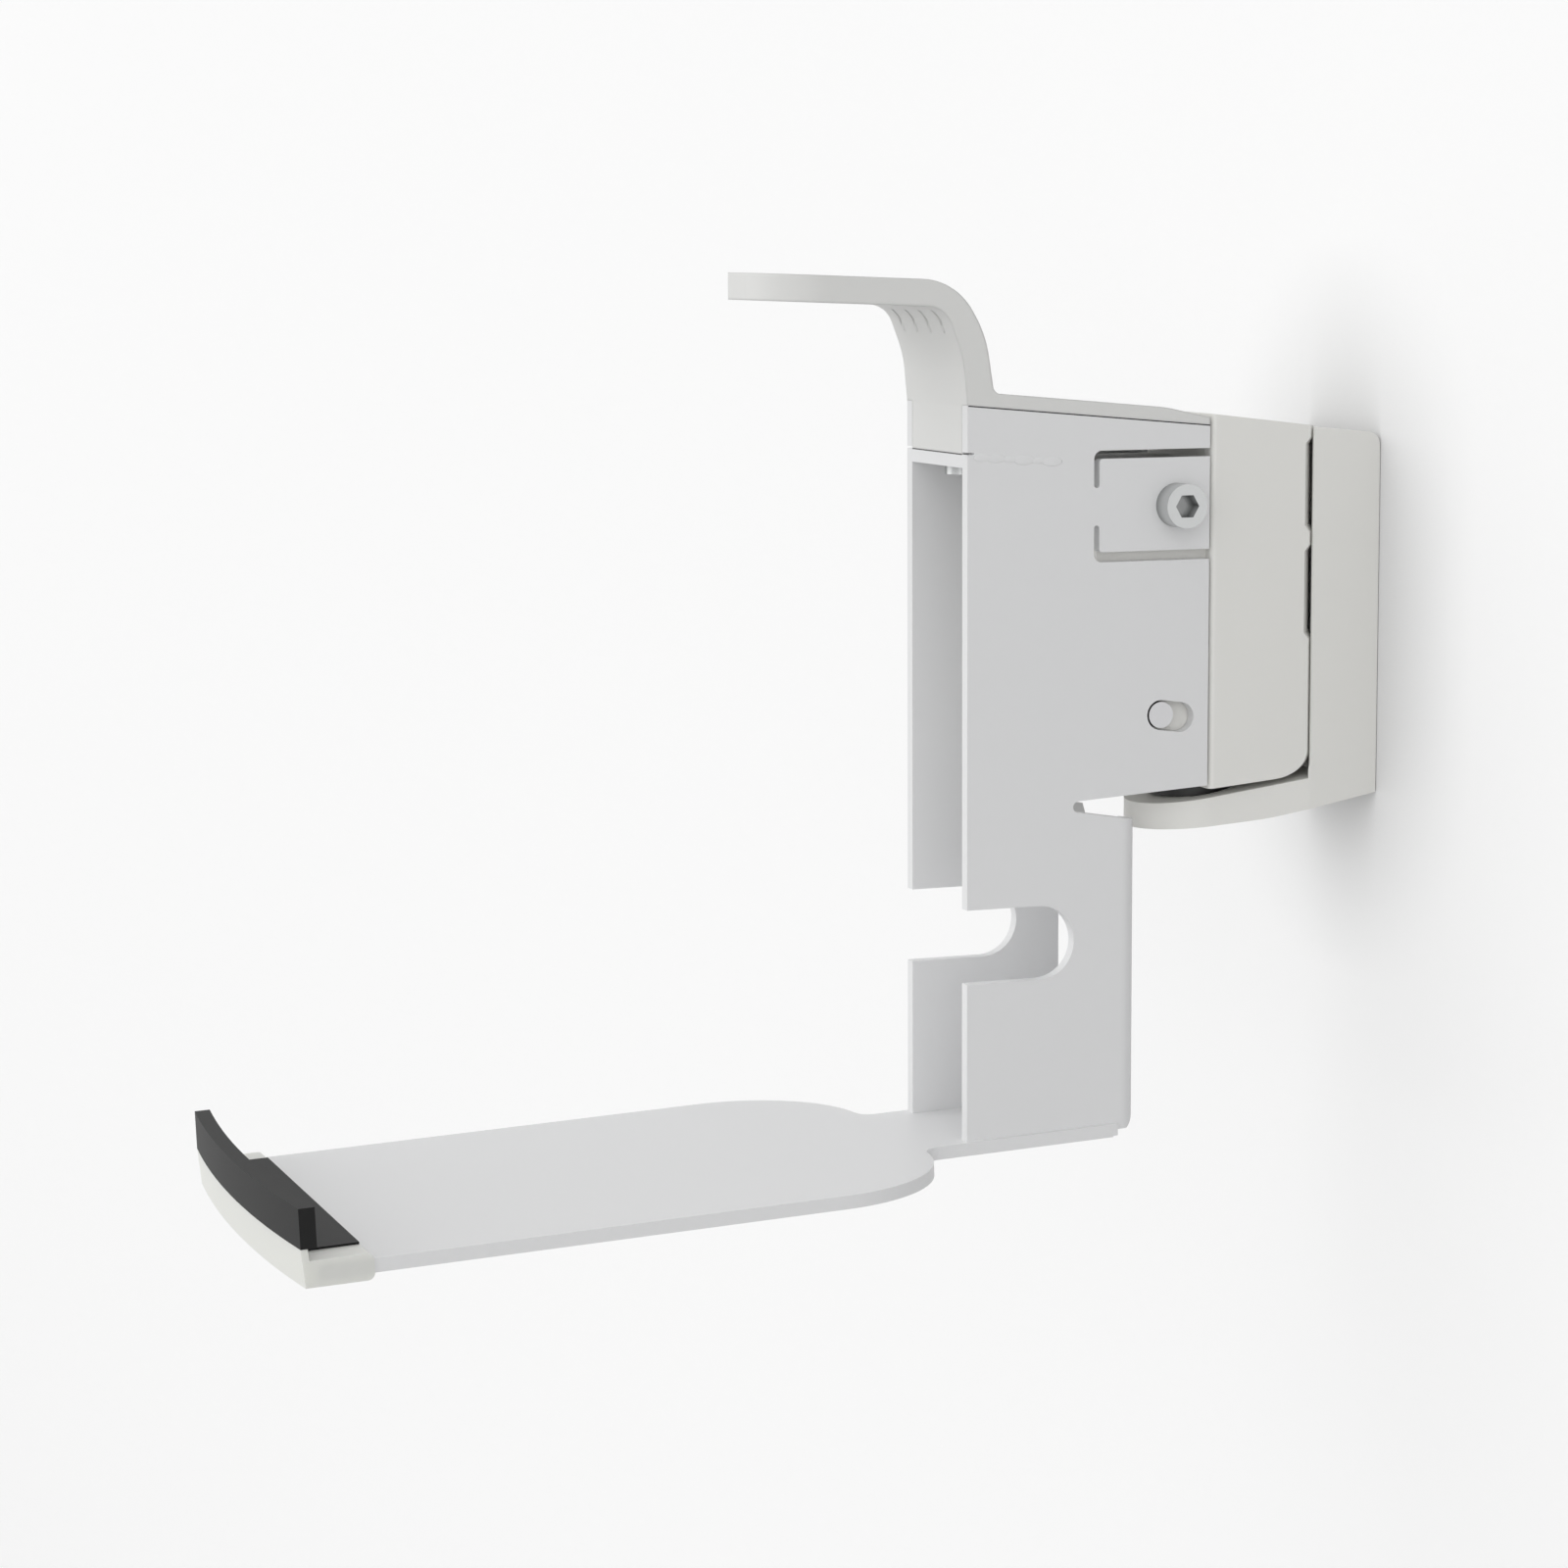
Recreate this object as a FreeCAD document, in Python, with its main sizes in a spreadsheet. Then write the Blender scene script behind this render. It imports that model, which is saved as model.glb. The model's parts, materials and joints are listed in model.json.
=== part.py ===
import FreeCAD, Part
import math
import os

# Speaker wall bracket. A base on the wall carries a block that swivels about an upright screw.
# A folded steel cradle hangs on the block, and tilts a few degrees on a pin and a clamp screw.
# Frame: millimetres, +Z up, the wall is the plane Y = 0 and the bracket stands out towards -Y.
# The origin is the middle of the wall base's rear face.
SIZES = {
    # folded cradle: cheeks, column, shelf
    "sheet": 3.0,
    "channel_width": 36.0,
    "cheek_depth": 59.6,
    "cheek_top_front": 49.0,
    "cheek_top_rear": 43.6,
    "step_front_drop": 40.9,
    "step_rear_drop": 38.9,
    "relief_length": 16.3,
    "relief_gap": 2.6,
    "column_setback": 17.3,
    "column_top_drop": 46.0,
    "column_drop": 117.6,
    "web_notch_width": 29.2,
    "web_notch_foot": 20.4,
    "web_notch_drop": 50.0,
    "web_notch_corner": 3.0,
    "bend_radius": 4.0,
    "rear_slit": 2.2,
    "heel_radius": 6.3,
    "cable_slot_drop": 72.9,
    "cable_slot_height": 17.0,
    "cable_slot_depth": 26.3,
    "droop": 2.3,
    "shelf_width": 101.0,
    "shelf_reach": 158.5,
    "shelf_rear_gap": 11.5,
    "shelf_corner": 30.0,
    "neck_width": 38.0,
    "neck_fillet": 4.0,
    "neck_end_inset": 5.2,
    # spring tabs cut in the cheeks
    "tab_length": 28.8,
    "tab_top": 38.4,
    "tab_foot": 13.2,
    "tab_slit": 1.4,
    "tab_upper_slot": 1.9,
    "tab_lower_slot": 2.3,
    "tab_neck": 8.4,
    "tab_corner": 2.0,
    # cross plate and the hook's screws
    "cross_top": 38.1,
    "cross_gap": 7.0,
    "cross_tab_inset": 11.5,
    "cross_tab_length": 10.5,
    "front_notch": 1.6,
    "front_notch_height": 0.5,
    "hook_screw_diameter": 4.0,
    "hook_screw_head": 7.6,
    "hook_screw_head_height": 2.6,
    "hook_screw_length": 12.0,
    "hook_screw_pitch": 14.0,
    "hook_screw_inset": 9.0,
    # hook
    "stem_thickness": 6.4,
    "stem_bow": 25.0,
    "hook_rise": 2.4,
    "hook_underside": 70.6,
    "hook_thickness": 6.0,
    "hook_reach": 47.4,
    "hook_inner_radius": 6.0,
    "hook_inner_lean": 5.3,
    "hook_inner_knee": 11.0,
    "hook_outer_radius": 14.5,
    "hook_outer_lean": 9.1,
    "hook_outer_knee": 12.1,
    "knee_lean": 1.0,
    "cover_thickness": 3.2,
    "cover_rear_thickness": 1.7,
    "cover_bend_inset": 11.0,
    "cover_bend_radius": 30.0,
    "hook_heel_radius": 2.0,
    "hook_tip_corner": 13.5,
    "hook_clearance": 0.1,
    "rib_groove": 1.0,
    "rib_pitch": 8.0,
    # swivel block
    "shoulder_offset": 3.8,
    "block_gap": 0.6,
    "block_top_front": 46.1,
    "block_top_rear": 42.3,
    "block_foot_front": 39.8,
    "block_foot_rear": 37.0,
    "block_edge": 1.2,
    "block_heel": 6.0,
    "tongue_clearance": 0.25,
    "tongue_length": 27.2,
    "tongue_top": 35.9,
    "tongue_foot": 38.5,
    "ring_radius": 27.7,
    "ring_depth": 0.9,
    "ring_height": 3.0,
    "ring_pitch": 24.7,
    "ring_top": 40.3,
    # swivel axis, its screw, nut and bush
    "axis_reach": 39.0,
    "pivot_diameter": 8.0,
    "pivot_length": 60.0,
    "pivot_head": 15.0,
    "pivot_head_land": 0.3,
    "pivot_clearance": 0.2,
    "pivot_socket_depth": 2.5,
    "pivot_foot": 47.8,
    "pivot_hole": 8.4,
    "pivot_tip_room": 1.0,
    "socket_flats": 5.0,
    "nut_flats": 13.0,
    "nut_height": 6.8,
    "nut_seat": 4.0,
    "nut_clearance": 0.1,
    "nut_headroom": 0.3,
    "pivot_washer": 16.0,
    "pivot_washer_thickness": 1.6,
    "bush_flange": 20.0,
    "bush_flange_height": 3.3,
    "bush_outer": 12.0,
    "bush_bore": 8.2,
    "bush_length": 26.5,
    "bush_clearance": 0.08,
    "flange_room": 1.0,
    "flange_seat_room": 1.6,
    "bush_seat_drop": 42.6,
    "bush_top_gap": 0.3,
    # tilt: pivot line, clamp screw and guide pin
    "tilt_height": 45.2,
    "tilt_inset": 0.2,
    "tilt_range": 4.0,
    "clamp_inset": 9.0,
    "clamp_height": 25.7,
    "clamp_diameter": 6.0,
    "clamp_hole": 6.6,
    "clamp_head": 10.0,
    "clamp_head_height": 6.0,
    "clamp_socket_depth": 3.0,
    "clamp_length": 45.0,
    "clamp_nut_flats": 10.0,
    "clamp_nut_height": 6.0,
    "washer_outer": 12.0,
    "washer_thickness": 1.6,
    "pin_inset": 12.4,
    "pin_drop": 22.1,
    "pin_diameter": 6.0,
    "pin_slot": 6.9,
    # wall base
    "wall_width": 36.0,
    "wall_thickness": 17.0,
    "wall_top_front": 42.3,
    "wall_top_rear": 41.1,
    "wall_foot": 42.6,
    "wall_corner": 3.4,
    "seat_radius": 28.0,
    "arm_root_drop": 38.5,
    "arm_root_radius": 5.0,
    "arm_tip_drop": 44.2,
    "arm_foot_drop": 50.1,
    "arm_knee_reach": 27.1,
    "arm_knee_drop": 47.6,
    "arm_knee_radius": 80.0,
    "nose_radius": 15.5,
    "screw_pitch": 56.0,
    "screw_hole": 5.5,
    "screw_head": 10.0,
    "screw_head_depth": 3.0,
    "back_pocket_depth": 4.0,
    "back_pocket_width": 24.0,
    "back_pocket_height": 15.0,
    "back_rib": 4.0,
    # end cap and its rubber lip
    "cap_side": 0.5,
    "cap_grip": 11.6,
    "cap_nose": 3.25,
    "cap_bow": 2.8,
    "cap_wall": 1.35,
    "cap_rim": 2.6,
    "cap_draft": 0.6,
    "cap_rim_thickness": 1.5,
    "cap_rear_radius": 1.6,
    "lip_thickness": 3.5,
    "lip_height": 8.7,
    "pad_side": 8.0,
    "pad_inset": 1.0,
    "pad_thickness": 0.5,
}

doc = FreeCAD.newDocument("speaker_wall_bracket")
sheet = doc.addObject("Spreadsheet::Sheet", "Sizes")
for row, (alias, value) in enumerate(SIZES.items(), start=1):
    sheet.set(f"A{row}", str(value))
    sheet.setAlias(f"A{row}", alias)
doc.recompute()

V = FreeCAD.Vector
UP = V(0, 0, 1)
FAR = 200.0  # longer than anything that a cutting tool has to pass through
PAST = 1.0  # how far a cutting box stands out of the face that it opens
HEXAGON_REACH = 1.2  # a hexagon's corners stay within its half width times this


def size(alias):
    """The number in the sheet's cell of that name."""
    return float(sheet.get(alias))


def bind(thing, **properties):
    """Ties properties of an object to expressions over the sheet's cells."""
    for name, expression in properties.items():
        thing.setExpression(name, expression)
    return thing


# Places that several pieces share.
HALF = size("channel_width") / 2
INNER = HALF - size("sheet")
AXIS = -size("axis_reach")
SHOULDER = AXIS - size("shoulder_offset")
REAR = SHOULDER - size("block_gap")
FRONT = REAR - size("cheek_depth")
COLUMN_REAR = REAR - size("column_setback")
COLUMN_DEPTH = COLUMN_REAR - FRONT
WEB_FRONT = COLUMN_REAR - size("sheet")
WEB_HALF = HALF - size("bend_radius")
TONGUE_FRONT = SHOULDER - size("tongue_length")
CROSS_REAR = TONGUE_FRONT - size("cross_gap")
DROOP = FreeCAD.Rotation(V(1, 0, 0), size("droop"))
SHELF_ORIGIN = V(0, FRONT, -size("column_drop"))
SHELF_PLACE = FreeCAD.Placement(SHELF_ORIGIN, DROOP)
TILT = V(0, SHOULDER - size("tilt_inset"), size("tilt_height"))
CLAMP = V(0, SHOULDER - size("clamp_inset"), size("clamp_height"))
PIN = V(0, SHOULDER - size("pin_inset"), -size("pin_drop"))


def profile(name, plane, path):
    """A body with one closed sketch. A path is points, and (middle, end) pairs for arcs."""
    body = doc.addObject("PartDesign::Body", name)
    sketch = body.newObject("Sketcher::SketchObject", name + "_sketch")
    origin = [f for f in body.Origin.OriginFeatures if f.Role == plane][0]
    sketch.AttachmentSupport = [(origin, "")]
    sketch.MapMode = "FlatFace"
    here = V(*path[0], 0)
    for step in list(path[1:]) + [path[0]]:
        if isinstance(step[0], tuple):
            middle, end = V(*step[0], 0), V(*step[1], 0)
            sketch.addGeometry(Part.Arc(here, middle, end))
        else:
            end = V(*step, 0)
            if end.distanceToPoint(here) > 1e-6:
                sketch.addGeometry(Part.LineSegment(here, end))
        here = end
    return body, sketch


def pad(name, plane, path, length, side="Symmetric"):
    """A body padded from one closed sketch, to a length given as an expression."""
    body, sketch = profile(name, plane, path)
    feature = body.newObject("PartDesign::Pad", name + "_pad")
    feature.Profile = sketch
    feature.SideType = side
    bind(feature, Length=length)
    return body


def turned(name, path):
    """A body turned about the upright axis of its own origin, from a path of radius and height."""
    body, sketch = profile(name, "XZ_Plane", path)
    feature = body.newObject("PartDesign::Revolution", name + "_turn")
    feature.Profile = sketch
    feature.ReferenceAxis = (sketch, ["V_Axis"])
    feature.Angle = 360.0
    return body


def box(name, low, high):
    """A block between two corners."""
    made = doc.addObject("Part::Box", name)
    made.Length, made.Width, made.Height = (b - a for a, b in zip(low, high))
    made.Placement.Base = V(*low)
    return made


def rod(name, centre, direction, diameter, length):
    """A round bar from centre along direction, its diameter and length given as expressions."""
    made = doc.addObject("Part::Cylinder", name)
    bind(made, Radius=f"({diameter}) / 2", Height=length)
    made.Placement = FreeCAD.Placement(V(*centre), FreeCAD.Rotation(UP, V(*direction)))
    return made


def hexagon(name, centre, direction, flats, length):
    """A six-sided bar from centre along direction, with two flats square to X or to Y."""
    made = doc.addObject("Part::Prism", name)
    made.Polygon = 6
    bind(made, Circumradius=f"({flats}) / sqrt(3)", Height=length)
    quarter = FreeCAD.Rotation(UP, 30)
    made.Placement = FreeCAD.Placement(V(*centre), FreeCAD.Rotation(UP, V(*direction)) * quarter)
    return made


def fuse(name, *parts):
    made = doc.addObject("Part::MultiFuse", name)
    made.Shapes = list(parts)
    return made


def common(name, *parts):
    made = doc.addObject("Part::MultiCommon", name)
    made.Shapes = list(parts)
    return made


def cut(name, base, *tools):
    made = doc.addObject("Part::Cut", name)
    made.Base = base
    made.Tool = tools[0] if len(tools) == 1 else fuse(name + "_tools", *tools)
    return made


def rounded(name, base, radius, wanted):
    """Rounds the edges of base for which wanted(edge) holds."""
    doc.recompute()
    made = doc.addObject("Part::Fillet", name)
    made.Base = base
    edges = enumerate(base.Shape.Edges, start=1)
    made.Edges = [(i, radius, radius) for i, edge in edges if wanted(edge)]
    return made


def eased(*corners):
    """A closed path through corners; (x, y, radius) turns into an arc that touches both sides."""
    path = []
    for i, corner in enumerate(corners):
        here = V(corner[0], corner[1], 0)
        if len(corner) == 2:
            path.append(corner)
            continue
        before, after = corners[i - 1], corners[(i + 1) % len(corners)]
        back = (V(before[0], before[1], 0) - here).normalize()
        ahead = (V(after[0], after[1], 0) - here).normalize()
        half_angle = back.getAngle(ahead) / 2
        inward = (back + ahead).normalize()
        reach = corner[2] / math.tan(half_angle)
        start, end = here + back * reach, here + ahead * reach
        middle = here + inward * (corner[2] / math.sin(half_angle) - corner[2])
        path += [(start.x, start.y), ((middle.x, middle.y), (end.x, end.y))]
    return path


def stadium(start, end, radius):
    """The closed path round two points at one distance."""
    along = math.atan2(end[1] - start[1], end[0] - start[0])

    def at(centre, turn):
        angle = along + math.radians(turn)
        return centre[0] + radius * math.cos(angle), centre[1] + radius * math.sin(angle)

    return [at(start, 90), (at(start, 180), at(start, -90)), at(end, -90), (at(end, 0), at(end, 90))]


def swung(point, degrees):
    """Where a point of the side view goes when it turns about the tilt line."""
    turn = FreeCAD.Rotation(V(1, 0, 0), degrees)
    moved = TILT + turn.multVec(point - TILT)
    return moved.y, moved.z


def along(y, start, end):
    """Height at y on the straight line through two points of the side view."""
    return start[1] + (end[1] - start[1]) * (y - start[0]) / (end[0] - start[0])


CHEEK_TOP = ((FRONT, size("cheek_top_front")), (REAR, size("cheek_top_rear")))


def cheek_path():
    """Side view of a cheek, with the relief slot that parts its upper half from the column."""
    relief_y = COLUMN_REAR - size("relief_length")
    radius = size("relief_gap") / 2
    relief_z = -size("step_front_drop") - radius
    foot = -size("column_drop") - size("sheet") / 2
    foot_rear = foot + COLUMN_DEPTH * math.tan(math.radians(size("droop")))
    return [
        (FRONT, foot),
        CHEEK_TOP[0],
        CHEEK_TOP[1],
        (REAR, -size("step_rear_drop")),
        (relief_y + radius, relief_z + radius),
        ((relief_y, relief_z), (relief_y + radius, relief_z - radius)),
        (COLUMN_REAR, -size("column_top_drop")),
        (COLUMN_REAR, foot_rear),
    ]


def tab_slot_path(edge, inner, neck):
    """One of the two slots round a spring tab: in from the cheek's rear edge, then along the tab."""
    front = REAR - size("tab_length")
    slit = size("tab_slit")
    corner = size("tab_corner")
    return eased(
        (REAR + slit, edge),
        (front, edge, corner),
        (front, neck, slit / 2),
        (front + slit, neck, slit / 2),
        (front + slit, inner, corner - slit * 0.9),
        (REAR + slit, inner),
    )


def cable_slot_path():
    radius = size("cable_slot_height") / 2
    middle = -size("cable_slot_drop")
    depth = FRONT + size("cable_slot_depth")
    return eased(
        (FRONT - radius, middle + radius),
        (depth, middle + radius, radius),
        (depth, middle - radius, radius),
        (FRONT - radius, middle - radius),
    )


def column_path():
    """Plan of the near cheek and the web bent from it; the web ends beside the other cheek, with no bend."""
    outer = size("bend_radius")
    inner = outer - size("sheet")
    return eased(
        (HALF, FRONT), (HALF, COLUMN_REAR, outer), (-WEB_HALF, COLUMN_REAR),
        (-WEB_HALF, WEB_FRONT), (INNER, WEB_FRONT, inner), (INNER, FRONT),
    )


def web_notch_path():
    """Front view of the notch in the web's top, from one bend to the other."""
    top, foot, floor = size("web_notch_width") / 2, size("web_notch_foot") / 2, -size("web_notch_drop")
    start = -size("step_front_drop")
    brow = start - size("relief_gap")
    corner = size("web_notch_corner")
    return eased(
        (-top, start), (-top, brow), (-foot, floor, corner),
        (foot, floor, corner), (top, brow), (top, start),
    )


def heel_path():
    """Side view of the corner that the bend from web to shelf leaves off."""
    radius = size("heel_radius")
    low = SHELF_PLACE.multVec(V(0, COLUMN_DEPTH, -size("sheet"))).z
    corner = eased(
        (COLUMN_REAR, low + 2 * radius), (COLUMN_REAR, low, radius), (COLUMN_REAR - 2 * radius, low),
    )
    below, behind = low - size("sheet"), COLUMN_REAR + size("sheet")
    return [corner[1], corner[2], (COLUMN_REAR - radius, below), (behind, below), (behind, low + radius)]


def shelf_path():
    """Plan of the shelf and its neck, on the shelf's own sloping plane."""
    half = size("shelf_width") / 2
    neck = size("neck_width") / 2
    front, rear = -size("shelf_reach"), -size("shelf_rear_gap")
    corner, inside = size("shelf_corner"), size("neck_fillet")
    tail = COLUMN_DEPTH
    neck_end = tail - size("neck_end_inset")
    return eased(
        (-half, front), (half, front), (half, rear, corner), (neck, rear, inside), (neck, neck_end),
        (WEB_HALF, neck_end), (WEB_HALF, tail), (-WEB_HALF, tail), (-WEB_HALF, neck_end),
        (-neck, neck_end), (-neck, rear, inside), (-half, rear, corner),
    )


def cradle_plate():
    """Shelf, neck, back web and two cheeks, folded from one sheet and welded along the neck."""
    outline = pad("cheek_outline", "YZ_Plane", cheek_path(), "Sizes.channel_width")
    column_top = -size("step_front_drop") - size("relief_gap") / 2
    column = pad("column_plan", "XY_Plane", column_path(), str(FAR + column_top), "One side")
    column.Placement.Base = V(0, 0, -FAR)
    left = box("left_cheek", (-HALF, FRONT, column_top), (-INNER, 0, FAR))
    left_foot = box("left_cheek_foot", (-HALF, FRONT, -FAR),
                    (-INNER, WEB_FRONT - size("rear_slit"), column_top))
    right = box("right_cheek", (INNER, FRONT, column_top), (HALF, 0, FAR))
    channel = common("channel", outline, fuse("channel_blank", column, left, left_foot, right))
    shelf = pad("shelf", "XY_Plane", shelf_path(), "Sizes.sheet", "One side")
    shelf.Placement = SHELF_PLACE * FreeCAD.Placement(V(0, 0, -size("sheet")), FreeCAD.Rotation())
    folded = fuse("folded", channel, shelf)
    folded.Refine = True
    pin_centre = (PIN.y, PIN.z)
    pin_far = swung(PIN, size("tilt_range"))
    tab_middle = (size("tab_top") + size("tab_foot")) / 2
    neck = size("tab_neck") / 2
    upper_inner = size("tab_top") - size("tab_upper_slot")
    lower_inner = size("tab_foot") + size("tab_lower_slot")
    across = f"Sizes.channel_width + {4 * PAST}"
    web_notch = pad("web_notch", "XZ_Plane", web_notch_path(), "3 * Sizes.sheet")
    web_notch.Placement.Base = V(0, COLUMN_REAR, 0)
    notch_top = size("cross_top") + size("front_notch_height")
    tab_front = FRONT + size("cross_tab_inset")
    tools = [
        web_notch,
        pad("heel_bend", "YZ_Plane", heel_path(), across),
        pad("cable_slot", "YZ_Plane", cable_slot_path(), across),
        pad("pin_slot", "YZ_Plane", stadium(pin_centre, pin_far, size("pin_slot") / 2), across),
        pad("tab_upper", "YZ_Plane", tab_slot_path(size("tab_top"), upper_inner, tab_middle + neck), across),
        pad("tab_lower", "YZ_Plane", tab_slot_path(size("tab_foot"), lower_inner, tab_middle - neck), across),
        rod("clamp_holes", (-HALF - 2 * PAST, CLAMP.y, CLAMP.z), (1, 0, 0), "Sizes.clamp_hole", across),
        box("weld_slots", (-HALF - PAST, tab_front, size("cross_top") - size("sheet")),
            (HALF + PAST, tab_front + size("cross_tab_length"), size("cross_top"))),
        box("front_notches", (-HALF - PAST, FRONT - PAST, size("cross_top")),
            (HALF + PAST, FRONT + size("front_notch"), notch_top)),
    ]
    return cut("cradle_plate", folded, *tools)


def cross_plate():
    """Flat plate welded between the cheeks, its side tabs ground flush with them."""
    low = size("cross_top") - size("sheet")
    inset, length = size("cross_tab_inset"), size("cross_tab_length")
    plate = box("cross_flat", (-INNER, FRONT, low), (INNER, CROSS_REAR, size("cross_top")))
    tabs = box("cross_tabs", (-HALF, FRONT + inset, low), (HALF, FRONT + inset + length, size("cross_top")))
    return cut("cross_plate", fuse("cross_blank", plate, tabs), *hook_screw_holes("cross"))


def hook_screw_places():
    half = size("hook_screw_pitch") / 2
    return [(side * half, FRONT + size("hook_screw_inset")) for side in (-1, 1)]


def hook_screw_holes(name):
    start = size("cross_top") - size("sheet")
    return [rod(f"{name}_hole_{i}", (x, y, start), UP, "Sizes.hook_screw_diameter",
                "Sizes.hook_screw_length")
            for i, (x, y) in enumerate(hook_screw_places())]


def hook_screws():
    """Two pan-head screws, up through the cross plate into the hook's foot."""
    start = size("cross_top") - size("sheet")
    screws = []
    for name, (x, y) in zip(("hook_screw_left", "hook_screw_right"), hook_screw_places()):
        shank = rod(name + "_shank", (x, y, start), UP, "Sizes.hook_screw_diameter",
                    "Sizes.hook_screw_length")
        head = rod(name + "_head", (x, y, start), -UP, "Sizes.hook_screw_head",
                   "Sizes.hook_screw_head_height")
        screws.append(fuse(name, shank, head))
    return screws


def hook_side_path():
    """Side view of the hook: cover over the cheeks, leaning stem, and the arm rising to its tip."""
    rise = math.tan(math.radians(size("hook_rise")))
    low, high = size("hook_underside"), size("hook_underside") + size("hook_thickness")
    tip, lift = FRONT - size("hook_reach"), size("hook_reach") * rise
    back = FRONT + size("stem_thickness")
    inside, outside = size("hook_inner_lean"), size("hook_outer_lean")
    lean, bow = size("knee_lean"), size("stem_bow")
    bend = REAR - size("cover_bend_inset")

    def cover(y):
        return along(y, *CHEEK_TOP) + size("cover_thickness")

    return eased(
        CHEEK_TOP[0],
        (FRONT - lean, low - size("hook_inner_knee"), bow),
        (FRONT - inside, low + inside * rise, size("hook_inner_radius")),
        (tip, low + lift),
        (tip, high + lift),
        (back - outside, high + (outside - size("stem_thickness")) * rise, size("hook_outer_radius")),
        (back - 2 * lean, high - size("hook_outer_knee"), bow),
        (back, cover(back), size("hook_heel_radius")),
        (bend, cover(bend), size("cover_bend_radius")),
        (REAR, CHEEK_TOP[1][1] + size("cover_rear_thickness")),
        CHEEK_TOP[1],
    )


def hook_plan_path():
    """Plan of the hook: as wide as the channel, with a rounded tip."""
    end = FRONT - size("hook_reach")
    corner = size("hook_tip_corner")
    return eased((-HALF, 0), (HALF, 0), (HALF, end, corner), (-HALF, end, corner))


def hook():
    """Moulded top: cover plate, foot between the cheeks, stem and arm."""
    side = pad("hook_side", "YZ_Plane", hook_side_path(), "Sizes.channel_width")
    plan = pad("hook_plan", "XY_Plane", hook_plan_path(), "2 * Sizes.hook_underside", "One side")
    upper = common("hook_upper", side, plan)
    gap = size("hook_clearance")
    foot = pad("hook_foot", "YZ_Plane", [
        (FRONT, size("cross_top")),
        CHEEK_TOP[0],
        (CROSS_REAR, along(CROSS_REAR, *CHEEK_TOP)),
        (CROSS_REAR, size("cross_top")),
    ], "Sizes.channel_width - 2 * Sizes.sheet - 2 * Sizes.hook_clearance")
    body = fuse("hook_body", upper, foot)
    width, pitch = size("rib_groove"), size("rib_pitch")
    inner, low = size("hook_inner_radius"), size("hook_underside")
    grooves = [box(f"rib_groove_{i}", ((i - 1.5) * pitch - width / 2, FRONT - inner, low - inner * 0.9),
                   ((i - 1.5) * pitch + width / 2, FRONT - inner * 0.15, low + gap * 3))
               for i in range(4)]
    return cut("hook", body, *grooves, *hook_screw_holes("hook"))


def block_top(y):
    rear = AXIS + size("ring_radius")
    return along(y, (SHOULDER, size("block_top_front")), (rear, size("block_top_rear")))


def block_foot(y):
    rear = AXIS + size("ring_radius")
    return -along(y, (SHOULDER, size("block_foot_front")), (rear, size("block_foot_rear")))


def ring_path():
    """Half section of the block's round rear, with two tall and shallow recesses between ring ribs."""
    radius, depth = size("ring_radius"), size("ring_depth")
    ease = size("ring_height") / 2
    corners = [(0, -FAR / 2), (radius, -FAR / 2)]
    for i in (1, 0):
        top = size("ring_top") - i * size("ring_pitch")
        foot = top - size("ring_pitch") + size("ring_height")
        floor = radius - depth
        corners += [(radius, foot), (floor, foot + ease), (floor, top - ease), (radius, top)]
    return eased(*corners, (radius, FAR / 2), (0, FAR / 2))


def pivot_at(height):
    return 0, AXIS, height


def block_head():
    """The part of the block behind the cheeks: round at the rear, its heel and two front corners eased."""
    rear = AXIS + size("ring_radius")
    wedge = pad("block_wedge", "YZ_Plane", [
        (SHOULDER, block_foot(SHOULDER)), (SHOULDER, block_top(SHOULDER)),
        (rear, block_top(rear)), (rear, block_foot(rear)),
    ], "2 * Sizes.ring_radius")
    ring = turned("ring", ring_path())
    ring.Placement.Base = V(0, AXIS, 0)

    def heel(edge):
        return edge.CenterOfMass.y > AXIS and edge.BoundBox.ZMax < block_foot(rear) + 0.1

    def front_corner(edge):
        return abs(edge.CenterOfMass.y - SHOULDER) < 0.1 and edge.BoundBox.ZLength > size("tongue_foot")

    heeled = rounded("block_heeled", common("block_round", wedge, ring), size("block_heel"), heel)
    width = box("block_width", (-HALF, -FAR, -FAR), (HALF, FAR, FAR))
    return rounded("block_head", common("block_narrow", heeled, width), size("block_edge"), front_corner)


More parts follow.
